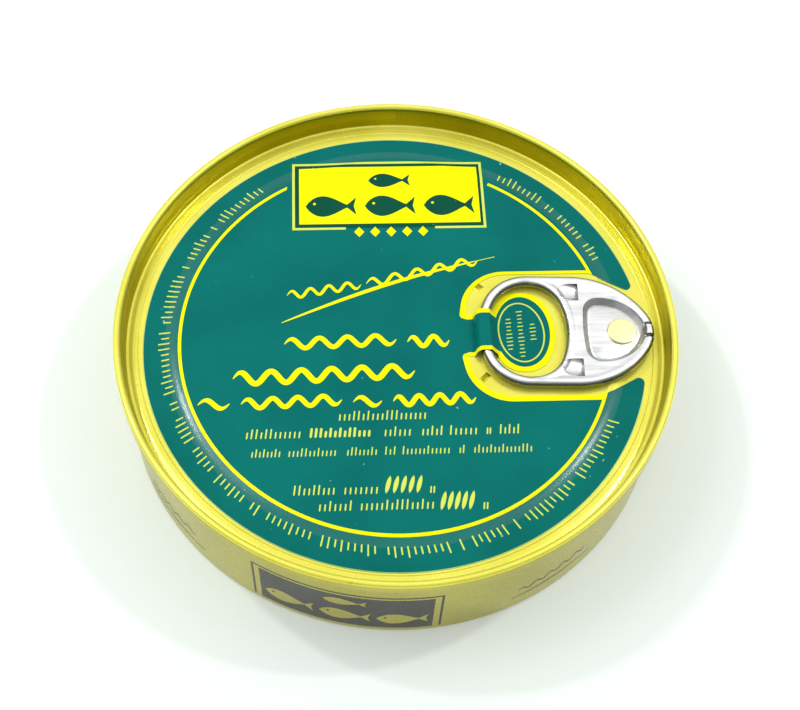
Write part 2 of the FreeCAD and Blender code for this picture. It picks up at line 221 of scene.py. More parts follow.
def lathe(profile, columns, centre_x=0.0, fine=None):
    """Points and faces of a closed profile of (radius, height) turned about an upright axis.

    fine is (lowest, highest, middle, reach, times, ripple): rings between those heights, with a
    radius within reach of the middle one, have that many times the columns and a radial ripple.
    """
    lowest, highest, middle, reach, times, ribbing = fine or (0, 0, 0, 0, 1, 0)
    points, rings = [], []
    for radius, height in profile:
        if radius < 1e-6:
            rings.append([len(points)])
            points.append((centre_x, 0.0, height))
            continue
        count, ripple = columns, 0.0
        if lowest <= height <= highest and abs(radius - middle) < reach:
            count, ripple = columns * times, ribbing
        start = len(points)
        for k in range(count):
            angle = 2 * math.pi * k / count
            r = radius + (ripple if k % 2 else -ripple)
            points.append((centre_x + r * math.cos(angle), r * math.sin(angle), height))
        rings.append(list(range(start, start + count)))
    faces = []
    for a, b in zip(rings, rings[1:] + rings[:1]):
        fewer, more = sorted((len(a), len(b)))
        if more == 1:
            continue
        steps = more if fewer == 1 else fewer
        for k in range(steps):
            faces.append(ring_run(a, k, steps) + ring_run(b, k, steps)[::-1])
    return points, faces


def ring_run(ring, k, steps):
    """The ring's points along one of its steps, both ends included."""
    if len(ring) == 1:
        return [ring[0]]
    times = len(ring) // steps
    return [ring[(k * times + j) % len(ring)] for j in range(times + 1)]


def triangulate(loops, chains=()):
    """Triangles of the plane cut along closed loops and open chains: points and index triples."""
    points, edges = [], []
    for group, closed in ((loops, True), (chains, False)):
        for path in group:
            start = len(points)
            points += [Vector((float(x), float(y))) for x, y in path]
            count = len(path)
            links = count if closed else count - 1
            edges += [(start + k, start + (k + 1) % count) for k in range(links)]
    made = delaunay_2d_cdt(points, edges, [], 0, 1e-5)
    return np.array([tuple(p) for p in made[0]]), np.array(made[2])


def face_up(points, faces):
    """The triangles, each going round so that it faces up."""
    a, b, c = (points[faces[:, k]] for k in range(3))
    turn = (b[:, 0] - a[:, 0]) * (c[:, 1] - a[:, 1]) - (b[:, 1] - a[:, 1]) * (c[:, 0] - a[:, 0])
    faces = faces.copy()
    faces[turn < 0] = faces[turn < 0][:, ::-1]
    return faces


def edge_strip(faces, count):
    """Quads that join a sheet's open edges to its lower layer, whose points come count later."""
    sides = list(map(tuple, np.vstack([faces[:, [0, 1]], faces[:, [1, 2]], faces[:, [2, 0]]])))
    known = set(sides)
    return [(a, a + count, b + count, b) for a, b in sides if (b, a) not in known]


def weld(points, faces, step=1e-4):
    """Merges points in the same place and drops those that no face uses."""
    keys = np.round(points / step).astype(np.int64)
    _, first, same = np.unique(keys, axis=0, return_index=True, return_inverse=True)
    faces = same.reshape(-1)[faces]
    apart = [faces[:, j] != faces[:, k] for j, k in ((0, 1), (1, 2), (0, 2))]
    faces = faces[np.all(apart, axis=0)]
    used, faces_flat = np.unique(faces, return_inverse=True)
    return points[first][used], faces_flat.reshape(faces.shape)


# ---------------------------------------------------------------- material helpers
def shader(name, **values):
    """A material whose Principled shader has these constant inputs."""
    material = bpy.data.materials.new(name)
    material.use_nodes = True
    principled = material.node_tree.nodes["Principled BSDF"]
    for key, value in values.items():
        principled.inputs[key.replace("_", " ")].default_value = value
    return material, material.node_tree, principled


def node(tree, kind, **settings):
    """A node with these properties, or inputs where the name starts with a capital."""
    made = tree.nodes.new(kind)
    for key, value in settings.items():
        if key[0].isupper():
            made.inputs[key].default_value = value
        else:
            setattr(made, key, value)
    return made


def noise(tree, scale, detail=4.0, roughness=0.5, stretch=(1, 1, 1)):
    """Noise in the object's own metres, stretched along the axes."""
    place = node(tree, "ShaderNodeTexCoord")
    mapping = node(tree, "ShaderNodeMapping")
    mapping.inputs["Scale"].default_value = stretch
    tree.links.new(place.outputs["Object"], mapping.inputs["Vector"])
    made = node(tree, "ShaderNodeTexNoise", Scale=scale, Detail=detail, Roughness=roughness)
    tree.links.new(mapping.outputs["Vector"], made.inputs["Vector"])
    return made.outputs["Fac"]


def band(tree, value, low, high, out_low, out_high):
    """The value's stretch from low to high, mapped to out_low to out_high and clamped."""
    made = node(tree, "ShaderNodeMapRange")
    for key, number in (("From Min", low), ("From Max", high),
                        ("To Min", out_low), ("To Max", out_high)):
        made.inputs[key].default_value = number
    tree.links.new(value, made.inputs["Value"])
    return made.outputs["Result"]


def blend_colour(tree, factor, colour_a, colour_b):
    """Colour a where the factor is 0 and b where it is 1, each a constant or an output."""
    mix = node(tree, "ShaderNodeMix", data_type="RGBA")
    tree.links.new(factor, mix.inputs[0])
    for index, colour in ((6, colour_a), (7, colour_b)):
        if isinstance(colour, tuple):
            mix.inputs[index].default_value = (*colour, 1.0)
        else:
            tree.links.new(colour, mix.inputs[index])
    return mix.outputs[2]


def bump(tree, principled, height, strength, depth):
    made = node(tree, "ShaderNodeBump", Strength=strength, Distance=depth)
    tree.links.new(height, made.inputs["Height"])
    tree.links.new(made.outputs["Normal"], principled.inputs["Normal"])


def linear(red, green, blue):
    """A colour given as 0 to 255, in the renderer's linear values."""
    def one(value):
        value /= 255
        return value / 12.92 if value <= 0.04045 else ((value + 0.055) / 1.055) ** 2.4
    return one(red), one(green), one(blue)


# ---------------------------------------------------------------- materials
GRAIN_DEPTH, FILM_GRAIN_DEPTH = 0.00003, 0.00004


def gold_lacquer(name, deep, bright, rough_low, rough_high, metal=1.0, grain_bump=0.03):
    """Clear yellow lacquer over tinplate: cloudy tone, soft shine, fine grain and small scuffs."""
    material, tree, principled = shader(name, Metallic=metal)
    principled.inputs["Specular IOR Level"].default_value = 0.2
    cloud = noise(tree, 70, detail=3)
    tone = blend_colour(tree, band(tree, cloud, 0.35, 0.65, 0, 1), deep, bright)
    scuff = noise(tree, 420, detail=3, roughness=0.7, stretch=(1, 1.9, 1))
    worn = band(tree, scuff, 0.66, 0.74, 0, 0.35)
    tone = blend_colour(tree, worn, tone, linear(196, 168, 52))
    tree.links.new(tone, principled.inputs["Base Color"])
    grain = noise(tree, 1900, detail=3, roughness=0.6)
    rough = band(tree, grain, 0.3, 0.7, rough_low, rough_high)
    tree.links.new(rough, principled.inputs["Roughness"])
    bump(tree, principled, grain, grain_bump, GRAIN_DEPTH)
    return material


def side_ink():
    """Dark charcoal print on the can's wall, with a little of the metal's shine."""
    material, tree, principled = shader("side_ink", Metallic=0.35)
    cloud = band(tree, noise(tree, 140, detail=4), 0.35, 0.65, 0, 1)
    tone = blend_colour(tree, cloud, linear(56, 56, 52), linear(66, 66, 60))
    tree.links.new(tone, principled.inputs["Base Color"])
    grain = noise(tree, 2400)
    tree.links.new(band(tree, grain, 0.3, 0.7, 0.3, 0.42), principled.inputs["Roughness"])
    return material


def aluminium():
    """Bare stamped aluminium: fine brushing along the tab, darker rubs, and painted shade that
    darkens the steeper faces.
    """
    material, tree, principled = shader("tab_metal", Metallic=1.0)
    streak = noise(tree, 700, detail=5, roughness=0.6, stretch=(0.12, 1.6, 1))
    brushed = band(tree, streak, 0.35, 0.7, 0, 1)
    tone = blend_colour(tree, brushed, linear(226, 228, 227), linear(250, 250, 249))
    rub = noise(tree, 190, detail=4, roughness=0.6, stretch=(0.5, 1.4, 1))
    tone = blend_colour(tree, band(tree, rub, 0.58, 0.7, 0, 0.45), tone, linear(176, 180, 180))
    # Painted shade: the more a face tilts away from facing up, the more its colour goes to dark
    # grey.
    facing = node(tree, "ShaderNodeSeparateXYZ")
    tree.links.new(node(tree, "ShaderNodeTexCoord").outputs["Normal"], facing.inputs["Vector"])
    steep_face_painted_shade = band(tree, facing.outputs["Z"], 0.55, 0.95, 0.8, 0.0)
    tone = blend_colour(tree, steep_face_painted_shade, tone, linear(84, 86, 88))
    tree.links.new(tone, principled.inputs["Base Color"])
    tree.links.new(band(tree, streak, 0.3, 0.7, 0.24, 0.36), principled.inputs["Roughness"])
    bump(tree, principled, streak, 0.04, GRAIN_DEPTH)
    return material


def film(name, colour, shade, shine=0.07, rough=(0.16, 0.3), sparkle=0.08, grain_scale=1500):
    """Glossy printed film with faint cloudiness, a fine ripple and small white dust specks."""
    material, tree, principled = shader(name)
    principled.inputs["Specular IOR Level"].default_value = shine
    cloud = noise(tree, 60, detail=3)
    tone = blend_colour(tree, band(tree, cloud, 0.35, 0.65, 0, 1), shade, colour)
    speck = band(tree, noise(tree, 900, detail=1), 0.79, 0.81, 0, 0.6)
    tone = blend_colour(tree, speck, tone, linear(180, 214, 205))
    tree.links.new(tone, principled.inputs["Base Color"])
    grain = noise(tree, grain_scale, detail=3, roughness=0.6)
    tree.links.new(band(tree, grain, 0.3, 0.7, *rough), principled.inputs["Roughness"])
    bump(tree, principled, grain, sparkle, FILM_GRAIN_DEPTH)
    return material


CAN_GOLD = gold_lacquer("can_gold", linear(182, 173, 68), linear(194, 185, 78), 0.24, 0.32,
                        grain_bump=0.015)
LID_GOLD = gold_lacquer("lid_gold", linear(236, 230, 88), linear(247, 241, 104), 0.18, 0.28,
                        metal=0.45)
# Painted shade: a darker copy of the lid's gold for the chuck wall, standing in for the dark
# surroundings it reflects.
WALL_SHADE_GOLD = gold_lacquer("wall_shade_gold", linear(158, 149, 22), linear(172, 163, 30), 0.28, 0.34,
                         metal=0.92)
# Painted shade: a darker copy of the wall gold for every other face of the knurl ribs, so they read
# as lit and shaded sides.
RIB_SHADE_GOLD = gold_lacquer("rib_shade_gold", linear(136, 127, 14), linear(148, 139, 20), 0.28, 0.34,
                        metal=0.92)
RIVET_GOLD = gold_lacquer("rivet_gold", linear(244, 244, 180), linear(250, 250, 198), 0.28, 0.34,
                          grain_bump=0.006)
SIDE_INK = side_ink()
TAB_METAL = aluminium()
TEAL = film("film_teal", linear(2, 116, 108), linear(0, 106, 100))
YELLOW = film("film_yellow", linear(254, 252, 4), linear(250, 248, 0))
PALE = film("film_pale", linear(222, 236, 96), linear(212, 230, 92))
DARK = film("film_dark", linear(8, 82, 62), linear(4, 74, 58))
FILM_EDGE = film("film_edge", linear(176, 214, 150), linear(160, 204, 140))
STEP_TEAL = film("film_teal_step", linear(2, 116, 108), linear(0, 106, 100), shine=0.34,
                 rough=(0.15, 0.24), sparkle=0.3, grain_scale=4200)


# ---------------------------------------------------------------- can body
CAN_COLUMNS = 360


def make_can():
    """Drawn cup: beaded base, foot ring, rounded base edge and wall; closed under the lid."""
    recess, edge = 0.7, 1.8
    bead = recess + 0.35
    foot = WALL_RADIUS - edge
    wall_top, lid_under, neck = SEAM_BOTTOM + 1, CENTRE - 1, 48.2
    profile = rounded([
        (0, recess), (30, recess, 1.5), (31, bead, 1.5), (35, bead, 1.5),
        (36, recess, 1.5), (foot - 1.9, recess, 0.4), (foot - 1.0, 0, 0.4), (foot, 0),
        (WALL_RADIUS, 0, edge), (WALL_RADIUS, wall_top),
        (WALL_RADIUS - 0.2, wall_top), (neck, lid_under), (0, lid_under),
    ], closed=False)
    points, faces = lathe(profile, CAN_COLUMNS)
    new_piece("can_wall", points, faces, ["can_body"], [CAN_GOLD])


# ---------------------------------------------------------------- lid and rivet
METAL = 0.25
RIM_IN = 48.75
CROWN_DROP, CROWN_RADIUS, CROWN_START = 0.1398, 0.6396, 0.22
SCORE_PLACE, SCORE_HALF, SCORE_DEPTH = 46.2, 0.1, 0.06
WALL_IN = 48.2
LID_COLUMNS, RIB_TIMES, RIB_RIPPLE = 400, 4, 0.028
RIB_RADIUS, RIB_REACH, RIB_END = 48.6, 0.6, 0.1
RIB_BOTTOM, RIB_TOP = PANEL + 1.4, PANEL + 3.7


def panel_height(radius):
    """Height of the lid's panel, its raised centre and the dished step round it."""
    t = np.clip((radius - STEP_INNER) / (STEP_OUTER - STEP_INNER), 0, 1)
    return CENTRE - CENTRE_RISE * (1 - (1 - t) ** 2)


def make_lid():
    """Rolled seam, knurled chuck wall, groove, score line and raised centre."""
    crown = arc_points((RIM_IN + SEAM_RADIUS) / 2, SHOULDER - CROWN_DROP, CROWN_RADIUS,
                       math.pi - CROWN_START, CROWN_START, 0.1)
    top = [
        (0, CENTRE), *((r, float(panel_height(r))) for r in np.arange(38.6, 41.7, 0.2)),
        (SCORE_PLACE - SCORE_HALF, PANEL), (SCORE_PLACE, PANEL - SCORE_DEPTH),
        (SCORE_PLACE + SCORE_HALF, PANEL),
        (47.1, PANEL, 1.0), (47.75, PANEL - 0.16, 0.5), (48.24, PANEL - 0.1, 0.35),
        (48.46, PANEL + 0.9), (48.56, RIB_BOTTOM - RIB_END), (48.57, RIB_BOTTOM),
        (48.68, RIB_TOP), (48.69, RIB_TOP + RIB_END), (RIM_IN, SHOULDER),
    ]
    outside = [
        (SEAM_RADIUS, SHOULDER), (SEAM_RADIUS, SEAM_BOTTOM + 0.3, 0.3),
        (SEAM_RADIUS - 0.3, SEAM_BOTTOM, 0.2), (WALL_RADIUS + 0.05, SEAM_BOTTOM + 0.02),
        (WALL_RADIUS + 0.05, SHOULDER - METAL), (RIM_IN + METAL, SHOULDER - METAL),
        (48.3 + METAL, PANEL - METAL), (47.9, PANEL - 0.35 - METAL), (47.4, PANEL - 0.35 - METAL),
        (46.8, PANEL - METAL), (STEP_OUTER, PANEL - METAL), (STEP_INNER, CENTRE - METAL),
        (0, CENTRE - METAL),
    ]
    profile = rounded(top, closed=False) + crown[1:-1] + rounded(outside, closed=False)
    points, faces = lathe(profile, LID_COLUMNS, fine=(
        RIB_BOTTOM - RIB_END / 2, RIB_TOP + RIB_END / 2, RIB_RADIUS, RIB_REACH, RIB_TIMES,
        RIB_RIPPLE))
    new_piece("lid_shell", points, faces, ["lid"],
              [LID_GOLD, WALL_SHADE_GOLD, RIB_SHADE_GOLD, CAN_GOLD], lid_zones(points, faces), sharp=20)


def lid_zones(points, faces):
    """Material numbers: 1 chuck wall in painted shade, 2 painted shade on every other face of the
    ribs towards the tab, 3 seam, 0 the rest.
    """
    x, y, z = np.array([np.mean([points[k] for k in face], axis=0) for face in faces]).T
    radius = np.hypot(x, y)
    # Painted shade: the chuck wall takes the darker wall gold.
    wall = (radius > WALL_IN) & (radius < RIM_IN) & (z > PANEL + 0.1)
    column = np.floor(np.arctan2(y, x) / (2 * math.pi) * LID_COLUMNS * RIB_TIMES)
    # Painted shade: every other face of the ribs on the tab's side takes the darker rib gold.
    shaded_rib_faces = wall & (z > RIB_BOTTOM) & (z < RIB_TOP) & (column % 2 == 0) & (x > 0)
    seam = (radius > SEAM_RADIUS - 0.1) & (z < SHOULDER - 0.1)
    return np.select([shaded_rib_faces, wall, seam], [2, 1, 3], 0)


def make_lid_marks():
    """Two small stamped squares beside the ring."""
    def box(half_x, half_y, bend):
        return rounded([(x, y, bend) for x, y in rectangle(-half_x, -half_y, half_x, half_y)])

    for number, (x, y, turn) in enumerate(((15.0, 10.2, 0.9), (15.6, -9.0, -0.75))):
        outline = turned(box(0.6, 1.0, 0.15), (x, y), turn)
        inner = turned(box(0.5, 0.9, 0.1), (x, y), turn)
        count = len(outline)
        points = ([(px, py, CENTRE - 0.02) for px, py in outline]
                  + [(px, py, CENTRE + 0.05) for px, py in inner])
        faces = [list(range(count, 2 * count)), list(range(count))[::-1]]
        faces += [[k, (k + 1) % count, (k + 1) % count + count, k + count] for k in range(count)]
        # The stamped squares use the chuck wall's darker gold.
        new_piece(f"lid_mark_{number}", points, faces, ["lid"], [WALL_SHADE_GOLD])


def make_rivet():
    """Flat round head over the tab, and the shank that joins it to the lid."""
    head = WELL_FLOOR + RIVET_HEIGHT
    shank = 1.9
    rivet = rounded([
        (0, head), (RIVET_RADIUS - 0.15, head - 0.06, 0.4), (RIVET_RADIUS, head - 0.3, 0.2),
        (RIVET_RADIUS - 0.05, WELL_FLOOR + 0.14), (2.35, WELL_FLOOR + 0.06),
        (shank, WELL_FLOOR - 0.2), (shank, TAB_BOTTOM - 0.02),
        (3.0, TAB_BOTTOM - 0.02, 0.3), (3.9, PANEL + 0.1, 0.3), (0, PANEL + 0.05),
    ], closed=False)
    points, faces = lathe(rivet, RIVET_COLUMNS, centre_x=RIVET_PLACE)
    new_piece("lid_rivet", points, faces, ["lid"], [RIVET_GOLD])


# ---------------------------------------------------------------- ring-pull tab
TAB_SHAPE = (TAB_TIP, TAB_NOSE, TAB_HALF, 15.2, 8.7, 16.0, 7.0)
RING = 1.9
ROLL = RING / 2
HOLE_SHAPE = (TAB_TIP + RING, 30.5, TAB_HALF - RING, 15.2 - RING, 8.7 - RING, 6.0, 16.0)
WELL_SHAPE = (33.4, 44.9, 6.7, 40.0, 2.8, 8.4, 2.8)
TAB_MIDDLE = TAB_BOTTOM + TAB_HEIGHT / 2
PLATE_DROP, PLATE_FALL, HOLE_FALL = 0.22, 1.1, 0.7
WALL_RUN = 1.02
GUTTER_DEPTH, GUTTER_RUN = 0.12, 0.35
SCOOP_START, SCOOP_END, SCOOP_LIP = 29.2, 33.0, 0.04
SCOOP_SIDE, SCOOP_HALF, SCOOP_ROUND, SCOOP_DEPTH = 7.9, 1.8, 2.2, 0.85
LOCK_LEFT, LOCK_HALF, LOCK_RISE = 44.4, 0.9, 0.22
NOTCH_DEPTH, NOTCH_HALF = 0.45, 0.35


def scoop_half(x):
    """Half width of a dimple at x, from its round start to its flat end."""
    t = np.clip((x - SCOOP_START) / SCOOP_ROUND, 0, 1)
    return SCOOP_HALF * np.sqrt(t * (2 - t))


def roll_rise(from_edge):
    """How far the rolled edge's surface is above or below the tab's middle height."""
    return TAB_HEIGHT / 2 * np.sqrt(1 - (1 - np.clip(from_edge / ROLL, 0, 1)) ** 2)


def tab_height(x, y):
    """Height of the tab's upper surface."""
    outer = distance(egg(*TAB_SHAPE), x, y)
    hole = distance(egg(*HOLE_SHAPE), x, y)
    crest = np.maximum(1 - smooth((outer - ROLL) / PLATE_FALL),
                       1 - smooth((hole - ROLL) / HOLE_FALL))
    height = TAB_MIDDLE + roll_rise(np.minimum(outer, hole)) - PLATE_DROP * (1 - crest)
    well_loop = egg(*WELL_SHAPE)
    depth_in = np.where(inside(well_loop, x, y), distance(well_loop, x, y), 0)
    drop = np.clip(depth_in / WALL_RUN, 0, 1)
    floor = WELL_FLOOR - GUTTER_DEPTH * (1 - smooth((depth_in - WALL_RUN) / GUTTER_RUN))
    height = height + (floor - height) * drop
    for side in (-SCOOP_SIDE, SCOOP_SIDE):
        half = scoop_half(x)
        across = np.abs(y - side) / np.maximum(half, 1e-6)
        within = (x > SCOOP_START) & (x < SCOOP_END) & (across < 1)
        along = np.clip((x - SCOOP_START) / (SCOOP_END - SCOOP_START), 0, 1)
        height -= np.where(within, SCOOP_DEPTH * along ** 0.8 * (1 - across ** 4), 0)
    lock = smooth((x - LOCK_LEFT) / 0.3) * smooth(outer / 0.35)
    apart = np.abs(np.abs(y) - LOCK_HALF - NOTCH_HALF)
    height += LOCK_RISE * lock * (np.abs(y) < LOCK_HALF + 0.01)
    return height - NOTCH_DEPTH * lock * np.clip(1 - apart / NOTCH_HALF, 0, 1)


def scoop_chains():
    """Lines along and across the two dimples."""
    chains = []
    lip = SCOOP_END - SCOOP_LIP
    along = SCOOP_START + (SCOOP_END - SCOOP_START) * np.linspace(0, 1, 25) ** 1.6
    shares = np.linspace(-1, 1, 9)
    for side in (-SCOOP_SIDE, SCOOP_SIDE):
        for share in shares:
            chains.append([(x, side + share * scoop_half(x)) for x in along[:-1]]
                          + [(lip, side + share * SCOOP_HALF)])
        for x in [*along[2:-1], lip, SCOOP_END]:
            half = float(scoop_half(min(x, lip)))
            chains.append([(x, side + half * share) for share in shares])
    return chains


def lock_chains():
    """Lines along and across the raised block at the nose and the notches beside it."""
    chains = []
    for y in (0, LOCK_HALF / 2, *(LOCK_HALF + out for out in (0, 0.04, 0.2, 0.35, 0.5, 0.7))):
        for side in (-1, 1) if y else (1,):
            chains.append([(x, side * y) for x in np.arange(LOCK_LEFT, TAB_NOSE - 0.05, 0.15)])
    for x in np.arange(LOCK_LEFT, LOCK_LEFT + 0.4, 0.1):
        chains.append([(x, -1.7), (x, 1.7)])
    return chains


def make_tab():
    """Ring with a round rolled edge, flat bar with two scoops, and the well round the rivet."""
    outer_loop, hole_loop = egg(*TAB_SHAPE), egg(*HOLE_SHAPE)
    rolls = [0, 0.03, 0.1, 0.22, 0.4, 0.62, ROLL]
    falls = [ROLL + f for f in (0.2, 0.4, 0.6, 0.85, PLATE_FALL)]
    loops = [egg(*TAB_SHAPE, grow=-d) for d in rolls + falls]
    loops += [egg(*HOLE_SHAPE, grow=d) for d in rolls[:-1] + falls[:4]]
    loops += [egg(*WELL_SHAPE, grow=-d, step=0.25)
              for d in (0, 0.07, 0.35, 0.7, 0.96, WALL_RUN, 1.09, 1.18, WALL_RUN + GUTTER_RUN)]
    bottom_loops = [egg(*TAB_SHAPE, grow=-d) for d in rolls]
    bottom_loops += [egg(*HOLE_SHAPE, grow=d) for d in rolls[:-1]]

    def plate(loops, chains=()):
        points, faces = triangulate(loops, chains)
        x, y = points[faces].mean(axis=1).T
        return points, face_up(points, faces[inside(outer_loop, x, y) & ~inside(hole_loop, x, y)])

    top, top_faces = plate(loops, scoop_chains() + lock_chains())
    bottom, bottom_faces = plate(bottom_loops)
    x, y = bottom.T
    under = roll_rise(np.minimum(distance(outer_loop, x, y), distance(hole_loop, x, y)))
    points = np.vstack([np.column_stack([top, tab_height(*top.T)]),
                        np.column_stack([bottom, TAB_MIDDLE - under])])
    points, faces = weld(points, np.vstack([top_faces, bottom_faces[:, ::-1] + len(top)]))
    new_piece("tab_plate", points.tolist(), faces.tolist(), ["pull_tab"],
              [TAB_METAL], sharp=28)


# ---------------------------------------------------------------- printed film label
TEAL_ZONE, YELLOW_ZONE, DARK_ZONE, PALE_ZONE, EDGE_ZONE, STEP_ZONE = range(6)
ISLAND = dict(left=16.9, right=28.7, half=8.3, left_bend=12.0, left_shoulder=4.8,
              right_shoulder=4.8, right_bend=12.0)
TONGUE = (-4.5, 4.1)
TONGUE_TEAL = (-3.7, 3.2)
LIFT_X = (13.90, 14.02, 14.16, 14.34, 14.62, 15.05, 15.40, 16.80, 17.60, 18.30, 18.80)
LIFT_Z = (0.0, 0.30, 0.85, 1.40, 1.92, 2.24, 2.32, 2.30, 1.10, 0.22, 0.0)
RING_LINE = (38.3, 38.9)
EDGE_WIDTH = 0.12
SLOT_TURN = 12.0
TALL_SHARE = 0.35
BAR_WIDTH, BAR_LEAN = 0.26, 1.45
MARK_RADIUS, MARK_PITCH, MARK_TALL, MARK_SHORT = 41.4, 1.12, 2.1, 1.45


def slot_loop(left, half, bend, shoulder, mouth):
    """Outline of the opening for the tab: an oval's left end, straight sides, then the mouth."""
    straight = left + SLOT_TURN
    oval = [p for p in egg(left, left + 60, half, bend, shoulder, half, half) if p[0] < straight]
    upper = sorted((p for p in oval if p[1] > 0), key=lambda p: math.atan2(p[1], p[0] - straight))
    side = rounded([(straight + 1, half), *mouth], closed=False)[::-1] + upper
    return side + [(x, -y) for x, y in reversed(side)]


def ribbon(path, widths):
    """Outline of a brush stroke along a path with a width at each point."""
    path = np.asarray(path, float)
    heading = np.gradient(path, axis=0)
    heading /= np.linalg.norm(heading, axis=1)[:, None]
    side = np.column_stack([-heading[:, 1], heading[:, 0]]) * np.asarray(widths)[:, None] / 2
    return [tuple(p) for p in path + side] + [tuple(p) for p in (path - side)[::-1]]


def leaf(x, y, length, width, angle):
    """A slim pointed mark."""
    t = np.linspace(-1, 1, 9)
    mark = ribbon(np.column_stack([t * length / 2, 0 * t]), width * (1 - t ** 2) ** 0.7 + 0.02)
    return turned(mark, (x, y), angle)


def bar(x, y, length, width, angle):
    """A short bar with round ends."""
    reach = (length - width) / 2
    caps = (arc_points(reach, 0, width / 2, -QUARTER, QUARTER, width / 3)
            + arc_points(-reach, 0, width / 2, QUARTER, 3 * QUARTER, width / 3))
    return turned(caps, (x, y), angle)


def brush_wave(x0, x1, y, height, thick, slope=0.0):
    """A low swell line with pointed ends: crests over twice as long as they are high."""
    count = max(1, round((x1 - x0) / (2.3 * height)))
    turn = np.linspace(0, 2 * math.pi * count, 22 * count + 1)
    x = x0 + (x1 - x0) * turn / turn[-1]
    rise = height * (1 + np.sin(turn)) / 2
    ends = np.minimum(1, np.minimum(turn, turn[-1] - turn) / 2.0)
    return ribbon(np.column_stack([x, y + rise + slope * (x - x0)]), thick * (0.15 + 0.85 * ends))


def fish(x, y, length, height):
    """A plain fish shape with a forked tail."""
    t = np.linspace(0, 1, 15)
    back = 0.5 * np.sin(math.pi * t ** 0.8) * (1 - 0.15 * t)
    upper = list(zip(t * 0.82 - 0.5, back + 0.05 * t))
    lower = [(px, -py) for px, py in reversed(upper[1:])]
    tail = [(0.32, 0.07), (0.5, 0.42), (0.45, 0.0), (0.5, -0.42), (0.32, -0.07)]
    outline = upper[:-1] + tail + lower[1:]
    return moved([(px * length, py * height) for px, py in outline], x, y)


def mark_rows():
    """Loops that stand for the small print: rows of short bars, grouped as in the layout."""
    loops = []
    rows = [
        (-16.0, 1.9, [(-10.8, 4.8)], BAR_WIDTH),
        (-19.2, 1.9, [(-26.8, -17), (-15.8, -5), (-3, 2), (3.5, 7.5), (8.3, 13.5), (14.8, 15.8),
                      (17, 20.8)], BAR_WIDTH),
        (-22.9, 1.6, [(-25.8, -20.5), (-19.5, -11), (-9.5, -4), (-3, -0.8), (0, 8.5), (9.8, 11),
                      (12.3, 22.7)], 0.22),
        (-30.0, 1.9, [(-18.7, -11.3), (-10.2, -4)], BAR_WIDTH),
        (-33.0, 1.9, [(-14.5, -8.5), (-7.5, 5.3)], BAR_WIDTH),
    ]
    bold_word = (-19.2, -15.8)
    for y, height, words, width in rows:
        for x0, x1 in words:
            bold = 1.6 if (y, x0) == bold_word else 1.0
            count = max(2, round((x1 - x0) / (height * 0.44)))
            for k in range(count):
                x = x0 + (x1 - x0) * (k + 0.5) / count
                tall = height * (1.0 if rng.random() < TALL_SHARE else 0.68)
                loops.append(bar(x, y - height / 2 + tall / 2, tall, width * bold, BAR_LEAN))
    for x0, x1, y, height in ((-3, 3.3, -29.3, 3.4), (6.2, 12, -32.5, 3.6)):
        for x in np.linspace(x0 + 0.5, x1 - 0.5, 5):
            loops.append(leaf(x, y, height, 0.75, 1.3))
    for x, y in ((4.7, -30.4), (13.5, -33.6)):
        loops += [bar(x + right, y, 1.3, BAR_WIDTH, BAR_LEAN) for right in (0, 0.55)]
    return loops


def ring_marks(first, last, lengths):
    """Bars set round a circle between two angles, in groups of these lengths with gaps between."""
    words = cycle(lengths)
    loops, angle, left = [], first, next(words)
    step = math.copysign(MARK_PITCH / MARK_RADIUS, last - first)
    while (last - angle) * step > 0:
        if left == 0:
            left = next(words)
        else:
            tall = MARK_TALL if rng.random() < TALL_SHARE else MARK_SHORT
            r = MARK_RADIUS - (MARK_TALL - tall) / 2 * 0.6
            loops.append(bar(r * math.cos(angle), r * math.sin(angle), tall, 0.27, angle + 0.12))
            left -= 1
        angle += step
    return loops


def print_shapes():
    """The print as (zone, loop) pairs, later ones over earlier ones."""
    shapes = [(DARK_ZONE, rectangle(-18.2, 23.8, 17.7, 39.1))]
    for loop in frame_lines(-18.5, 23.5, 18.0, 39.4, 0.5, gap=(-8.5, 8.3)):
        shapes.append((PALE_ZONE, loop))
    shapes.append((YELLOW_ZONE, rectangle(-17.2, 24.8, 17.0, 38.2)))
    shapes += [(DARK_ZONE, fish(0.0, 34.9, 8.0, 3.3))]
    shapes += [(DARK_ZONE, fish(x, 28.9, 9.6, 4.9)) for x in (-11.2, 0.0, 11.2)]
    shapes += [(YELLOW_ZONE, circle(0.28, 10, x - 3.1, 29.5)) for x in (-11.2, 0.0, 11.2)]
    shapes += [(YELLOW_ZONE, circle(0.2, 10, -2.6, 35.3))]
    for x in (-6, -3, 0, 3, 6):
        shapes.append((YELLOW_ZONE, [(x - 0.95, 22.9), (x, 21.75), (x + 0.95, 22.9), (x, 24.05)]))
    shapes += [(YELLOW_ZONE, loop) for loop in script_strokes()]
    shapes += [(PALE_ZONE, loop) for loop in mark_rows()]
    shapes += [(PALE_ZONE, loop) for loop in ring_marks(
        math.radians(126.5), math.radians(335), [10, 1, 6, 1, 10, 12, 2, 5, 5, 6, 2, 8, 9])]
    shapes += [(PALE_ZONE, loop) for loop in ring_marks(
        math.radians(59), math.radians(22.5), [9, 2, 6])]

    place, lean = (22.6, 0.3), math.radians(3)
    for colour, radius_x, radius_y in ((PALE_ZONE, 4.24, 6.29), (TEAL_ZONE, 3.96, 6.01)):
        shapes.append((colour, turned(ellipse(radius_x, radius_y, 80), place, lean)))
    for x, y0, y1 in ((20.4, -3.2, 3.8), (22.5, -4.7, 5.4), (24.7, -1.2, 2.0)):
        for y in np.arange(y0, y1, 0.78):
            shapes.append((PALE_ZONE, bar(x, y, 1.15 if rng.random() < 0.5 else 0.85, 0.2, 0.1)))
    return shapes


